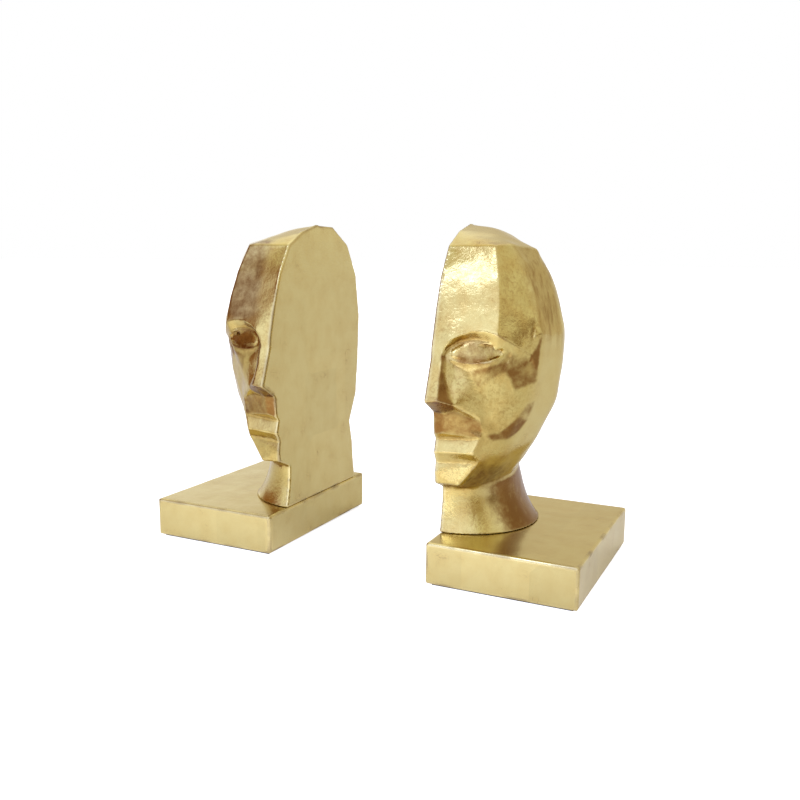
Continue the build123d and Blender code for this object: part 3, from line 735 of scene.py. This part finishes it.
materials = {
    "leafOnWood": gildedLeaf("imitation gold leaf on the slab", leafLook),
    "leafOnHead": gildedLeaf("imitation gold leaf on the head", leafLook),
    "felt": blackFelt(),
    "ballast_plate": turnedMetal("hot rolled mild steel", "8B8880", "5C5853", 0.45, 0.5),
    "ballast_screw": turnedMetal("zinc plated steel", "C9CBCB", "A9ABA8", 0.32, 0.35),
    "head_bolt": turnedMetal("black oxide steel", "3A3836", "24221F", 0.42, 0.35),
    "bolt_washer": turnedMetal("bright zinc washer steel", "C4C2BA", "9F9C94", 0.35, 0.4),
    "threaded_insert": turnedMetal("turned brass", "D9B873", "B08A48", 0.30, 0.35),
    "locating_dowel": beechDowel(),
}
print("finishes made")

for side in sides:
    finish(makeHead(side), materials["leafOnHead"])
    print(side, "head made")
    finish(makeSlab(side), materials["leafOnWood"])
    print(side, "slab made")
    finish(makeFelt(side), materials["felt"])
    for part in ("ballast_plate", "locating_dowel"):
        finish(frame["nodes"][f"{side}_{part}"], materials[part])
    for part in ("ballast_screw", "head_bolt", "bolt_washer", "threaded_insert"):
        for end in pairEnds:
            finish(frame["nodes"][f"{side}_{part}_{end}"], materials[part])


studio = {
    "floorGlow": 0.75,
    # pools of painted light glowing in the paper itself, no lamp: middle, full to, gone at, tone, strength
    "floorGlowPools": {
        "near": ((0.0, -0.50, 0.0), 0.25, 0.60, "E2E6FF", 0.85),
        "chin": ((-0.06, -0.74, 0.0), 0.12, 0.34, "B4C4FF", 2.9),
    },
    "air": ("FFFFFF", 0.95),
    # soft cards all round: azimuth (0 is the front, 90 the right), elevation, full to, gone at, tone, strength
    "cards": {
        "back": (-168, 22, 12, 48, "FFF4DE", 0.74),
        "right wall": (128, 20, 12, 33, "FFF0DC", 0.68),
        "right gap": (88, 1, 6, 17, "D8B890", 0.50),
        "front corner": (55, 4, 8, 22, "EAD2A8", 0.62),
        "left wall": (-72, 12, 20, 44, "FFBA80", 0.36),
        "front": (-6, 8, 22, 58, "CED6FF", 2.15),
        "back left": (-133, -4, 10, 28, "FFFFFF", 1.2),
        "overhead": (-144, 60, 12, 34, "FFFFFF", 1.3),
    },
    "softBoxTone": "9CB2FF",
    # name: place, size, watts, aim
    "softBoxes": {
        "key": ((-0.36, -1.24, 1.56), (0.46, 0.46), 5.2, (0.1, 0, 0.2)),
        "front fill": ((0.1, -1.9, 0.75), (0.8, 0.6), 1.2, (0.1, 0, 0.15)),
    },
}


def makeFloor():
    nothingSelected()
    bpy.ops.mesh.primitive_plane_add(size=40, location=(0, 0, -0.0002))
    floor = bpy.context.object
    floor.name = "paper_floor"
    material = newMaterial("white paper sweep")
    place = addNode(material, "ShaderNodeTexCoord")
    tooth = addNode(material, "ShaderNodeTexNoise", {}, {
        "Vector": (place, "Object"), "Scale": 30.0, "Detail": 2.0})
    tone = addNode(material, "ShaderNodeValToRGB", {}, {"Fac": (tooth, "Fac")}, [
        (0.3, colour("EAE8E4")), (0.7, colour("EEECE9"))])
    paper = addNode(material, "ShaderNodeBsdfDiffuse", {}, {"Color": (tone, "Color")})
    glow = addNode(material, "ShaderNodeEmission", {}, {"Color": (1, 1, 1, 1), "Strength": studio["floorGlow"]})
    ray = addNode(material, "ShaderNodeLightPath")
    paperAndPools = paper
    # the paper glows in pools before the heads: painted light that lights the chin and the slab fronts
    for middle, full, gone, sheet, strength in studio["floorGlowPools"].values():
        away = addNode(material, "ShaderNodeVectorMath", {"operation": "DISTANCE"}, {
            "Vector": (place, "Object"), "Vector_001": middle})
        near = addNode(material, "ShaderNodeMapRange", {"interpolation_type": "SMOOTHSTEP"}, {
            "Value": (away, "Value"), "From Min": gone, "From Max": full, "To Min": 0.0, "To Max": strength})
        glowPool = addNode(material, "ShaderNodeEmission", {}, {
            "Color": colour(sheet), "Strength": (near, "Result")})
        paperAndPools = addNode(material, "ShaderNodeAddShader", {}, {
            "Shader": (paperAndPools, paperAndPools.outputs[0].identifier), "Shader_001": (glowPool, "Emission")})
    both = addNode(material, "ShaderNodeAddShader", {}, {
        "Shader": (paperAndPools, "Shader"), "Shader_001": (glow, "Emission")})
    lit = addNode(material, "ShaderNodeMixShader", {}, {
        "Fac": (ray, "Is Camera Ray"), "Shader": (paperAndPools, "Shader"), "Shader_001": (both, "Shader")})
    addNode(material, "ShaderNodeOutputMaterial", {}, {"Surface": (lit, "Shader")})
    finish(floor, material)


def direction(azimuth, elevation):
    a, e = math.radians(azimuth), math.radians(elevation)
    return (math.sin(a) * math.cos(e), -math.cos(a) * math.cos(e), math.sin(e))


def tint(sheet, strength):
    return (*(part * strength for part in colour(sheet)[:3]), 1)


def makeWorld():
    world = bpy.data.worlds.new("studio")
    bpy.context.scene.world = world
    world.use_nodes = True
    world.node_tree.nodes.clear()
    way = addNode(world, "ShaderNodeTexCoord")
    air = tint(*studio["air"])
    for azimuth, elevation, full, gone, sheet, strength in studio["cards"].values():
        facing = addNode(world, "ShaderNodeVectorMath", {"operation": "DOT_PRODUCT"}, {
            "Vector": (way, "Generated"), "Vector_001": direction(azimuth, elevation)})
        share = addNode(world, "ShaderNodeMapRange", {"interpolation_type": "SMOOTHSTEP"}, {
            "Value": (facing, "Value"), "From Min": math.cos(math.radians(gone)),
            "From Max": math.cos(math.radians(full))})
        card = addNode(world, "ShaderNodeMix", {"data_type": "RGBA"}, {
            "Factor_Float": (share, "Result"), "A_Color": air, "B_Color": tint(sheet, strength)})
        air = (card, "Result_Color")
    light = addNode(world, "ShaderNodeBackground", {}, {"Color": air, "Strength": 1.0})
    plain = addNode(world, "ShaderNodeBackground", {}, {"Color": (1, 1, 1, 1), "Strength": 1.0})
    ray = addNode(world, "ShaderNodeLightPath")
    both = addNode(world, "ShaderNodeMixShader", {}, {
        "Fac": (ray, "Is Camera Ray"), "Shader": (light, "Background"), "Shader_001": (plain, "Background")})
    addNode(world, "ShaderNodeOutputWorld", {}, {"Surface": (both, "Shader")})


def makeLights():
    for name, (place, size, watts, aim) in studio["softBoxes"].items():
        data = bpy.data.lights.new(name, "AREA")
        data.shape = "RECTANGLE"
        data.size, data.size_y = size
        data.energy = watts
        data.color = colour(studio["softBoxTone"])[:3]
        light = bpy.data.objects.new(name, data)
        light.location = place
        light.rotation_euler = (Vector(aim) - Vector(place)).to_track_quat("-Z", "Y").to_euler()
        bpy.context.scene.collection.objects.link(light)


cameraLook = {"place": (0.3114, -0.6295, 0.2424), "turn": 25.56, "dip": 9.65, "roll": 0.53, "lens": 38.5,
              "sensor": 36, "seesTo": 100}


def makeCamera():
    data = bpy.data.cameras.new("camera")
    data.lens = cameraLook["lens"]
    data.sensor_width = cameraLook["sensor"]
    data.clip_end = cameraLook["seesTo"]
    camera = bpy.data.objects.new("camera", data)
    turn = Matrix.Rotation(math.radians(cameraLook["turn"]), 4, "Z")
    tilt = Matrix.Rotation(math.radians(90 - cameraLook["dip"]), 4, "X")
    roll = Matrix.Rotation(math.radians(cameraLook["roll"]), 4, "Z")
    camera.matrix_world = Matrix.Translation(cameraLook["place"]) @ turn @ tilt @ roll
    bpy.context.scene.collection.objects.link(camera)
    bpy.context.scene.camera = camera


makeFloor()
makeWorld()
makeLights()
makeCamera()
bpy.context.scene.view_settings.view_transform = "Standard"
print("studio made")
